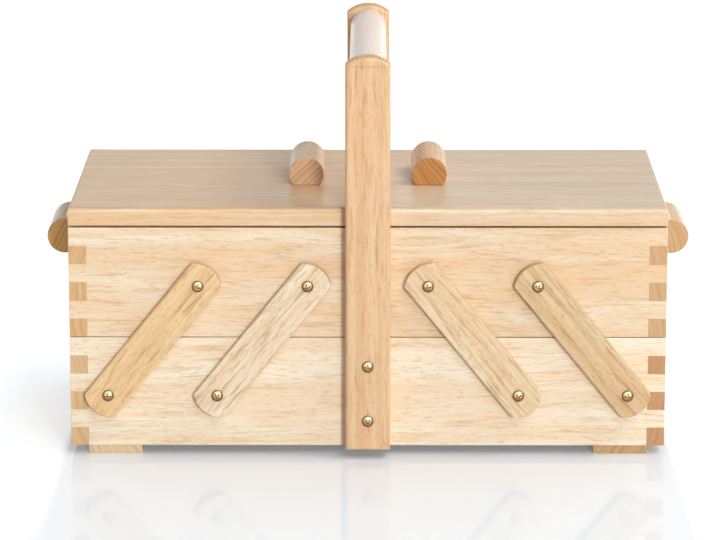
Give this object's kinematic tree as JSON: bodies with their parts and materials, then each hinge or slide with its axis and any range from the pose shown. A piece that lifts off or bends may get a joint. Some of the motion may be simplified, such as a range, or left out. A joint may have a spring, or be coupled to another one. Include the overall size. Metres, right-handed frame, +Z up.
{
  "type": "sewing box",
  "caption": "Wooden cantilever sewing box: base box, swing-out lidded trays on flat pivoting arms, and a tall central carrying handle with a round rail.",
  "frame": {"origin": "on the floor under the middle of the closed box", "axes": "+X along the box to the right, +Y from the front to the back, +Z up"},
  "size_m": [0.4398, 0.2312, 0.2742],
  "materials": {
    "board_wood": "satin varnish on pale hardwood, grain along the boards",
    "lid_wood": "satin varnish on pale hardwood, grain along the box",
    "arm_wood": "satin varnish on warm hardwood, grain along the arms",
    "handle_wood": "satin varnish on warm hardwood, grain up the posts",
    "rail_wood": "satin varnish on a turned pale dowel",
    "grip_wood": "satin varnish on a turned warm dowel",
    "plywood": "sanded pale plywood",
    "brass": "slightly dulled brass"
  },
  "bodies": {
    "base": {"base_front_board": "board_wood", "base_back_board": "board_wood", "base_left_end": "board_wood", "base_right_end": "board_wood", "base_bottom_panel": "plywood", "left_foot_batten": "board_wood", "right_foot_batten": "board_wood", "front_handle_post": "handle_wood", "back_handle_post": "handle_wood", "handle_rail": "rail_wood", "left_front_outer_lower_screw": "brass", "left_front_inner_lower_screw": "brass", "left_back_outer_lower_screw": "brass", "left_back_inner_lower_screw": "brass", "right_front_outer_lower_screw": "brass", "right_front_inner_lower_screw": "brass", "right_back_outer_lower_screw": "brass", "right_back_inner_lower_screw": "brass"},
    "left_front_outer_arm": {"left_front_outer_arm": "arm_wood"},
    "left_front_inner_arm": {"left_front_inner_arm": "arm_wood"},
    "left_back_outer_arm": {"left_back_outer_arm": "arm_wood"},
    "left_back_inner_arm": {"left_back_inner_arm": "arm_wood"},
    "left_tray": {"left_tray_front_board": "board_wood", "left_tray_back_board": "board_wood", "left_tray_outer_end": "board_wood", "left_tray_inner_end": "board_wood", "left_tray_bottom_panel": "plywood", "left_tray_pull": "grip_wood", "left_front_hinge_tray_leaf": "brass", "left_back_hinge_tray_leaf": "brass", "left_front_outer_upper_screw": "brass", "left_front_inner_upper_screw": "brass", "left_back_outer_upper_screw": "brass", "left_back_inner_upper_screw": "brass"},
    "left_lid": {"left_lid": "lid_wood", "left_lid_knob": "grip_wood", "left_front_hinge_lid_leaf": "brass", "left_back_hinge_lid_leaf": "brass"},
    "right_front_outer_arm": {"right_front_outer_arm": "arm_wood"},
    "right_front_inner_arm": {"right_front_inner_arm": "arm_wood"},
    "right_back_outer_arm": {"right_back_outer_arm": "arm_wood"},
    "right_back_inner_arm": {"right_back_inner_arm": "arm_wood"},
    "right_tray": {"right_tray_front_board": "board_wood", "right_tray_back_board": "board_wood", "right_tray_outer_end": "board_wood", "right_tray_inner_end": "board_wood", "right_tray_bottom_panel": "plywood", "right_tray_pull": "grip_wood", "right_front_hinge_tray_leaf": "brass", "right_back_hinge_tray_leaf": "brass", "right_front_outer_upper_screw": "brass", "right_front_inner_upper_screw": "brass", "right_back_outer_upper_screw": "brass", "right_back_inner_upper_screw": "brass"},
    "right_lid": {"right_lid": "lid_wood", "right_lid_knob": "grip_wood", "right_front_hinge_lid_leaf": "brass", "right_back_hinge_lid_leaf": "brass"}
  },
  "joints": [
    {"name": "left_swing", "type": "hinge", "parent": "base", "child": "left_front_outer_arm", "pos_m": [-0.1743, -0.104, 0.0427], "axis": [0, -1, 0], "range_deg": [0, 77.6]},
    {"name": "left_front_inner_swing", "type": "hinge", "parent": "base", "child": "left_front_inner_arm", "pos_m": [-0.101, -0.104, 0.0427], "axis": [0, -1, 0], "range_deg": [0, 77.6]},
    {"name": "left_back_outer_swing", "type": "hinge", "parent": "base", "child": "left_back_outer_arm", "pos_m": [-0.1743, 0.104, 0.0427], "axis": [0, -1, 0], "range_deg": [0, 77.6]},
    {"name": "left_back_inner_swing", "type": "hinge", "parent": "base", "child": "left_back_inner_arm", "pos_m": [-0.101, 0.104, 0.0427], "axis": [0, -1, 0], "range_deg": [0, 77.6]},
    {"name": "left_tray_pivot", "type": "hinge", "parent": "left_front_outer_arm", "child": "left_tray", "pos_m": [-0.1135, -0.104, 0.118], "axis": [0, -1, 0], "range_deg": [-77.6, 0]},
    {"name": "left_lid_hinge", "type": "hinge", "parent": "left_tray", "child": "left_lid", "pos_m": [-0.202, 0, 0.157], "axis": [0, -1, 0], "range_deg": [0, 155]},
    {"name": "right_swing", "type": "hinge", "parent": "base", "child": "right_front_outer_arm", "pos_m": [0.1743, -0.104, 0.0427], "axis": [0, 1, 0], "range_deg": [0, 77.6]},
    {"name": "right_front_inner_swing", "type": "hinge", "parent": "base", "child": "right_front_inner_arm", "pos_m": [0.101, -0.104, 0.0427], "axis": [0, 1, 0], "range_deg": [0, 77.6]},
    {"name": "right_back_outer_swing", "type": "hinge", "parent": "base", "child": "right_back_outer_arm", "pos_m": [0.1743, 0.104, 0.0427], "axis": [0, 1, 0], "range_deg": [0, 77.6]},
    {"name": "right_back_inner_swing", "type": "hinge", "parent": "base", "child": "right_back_inner_arm", "pos_m": [0.101, 0.104, 0.0427], "axis": [0, 1, 0], "range_deg": [0, 77.6]},
    {"name": "right_tray_pivot", "type": "hinge", "parent": "right_front_outer_arm", "child": "right_tray", "pos_m": [0.1135, -0.104, 0.118], "axis": [0, 1, 0], "range_deg": [-77.6, 0]},
    {"name": "right_lid_hinge", "type": "hinge", "parent": "right_tray", "child": "right_lid", "pos_m": [0.202, 0, 0.157], "axis": [0, 1, 0], "range_deg": [0, 155]}
  ],
  "couplings": [
    {"joint": "left_front_inner_swing", "follows": "left_swing", "ratio": 1},
    {"joint": "left_back_outer_swing", "follows": "left_swing", "ratio": 1},
    {"joint": "left_back_inner_swing", "follows": "left_swing", "ratio": 1},
    {"joint": "left_tray_pivot", "follows": "left_swing", "ratio": -1},
    {"joint": "right_front_inner_swing", "follows": "right_swing", "ratio": 1},
    {"joint": "right_back_outer_swing", "follows": "right_swing", "ratio": 1},
    {"joint": "right_back_inner_swing", "follows": "right_swing", "ratio": 1},
    {"joint": "right_tray_pivot", "follows": "right_swing", "ratio": -1}
  ]
}
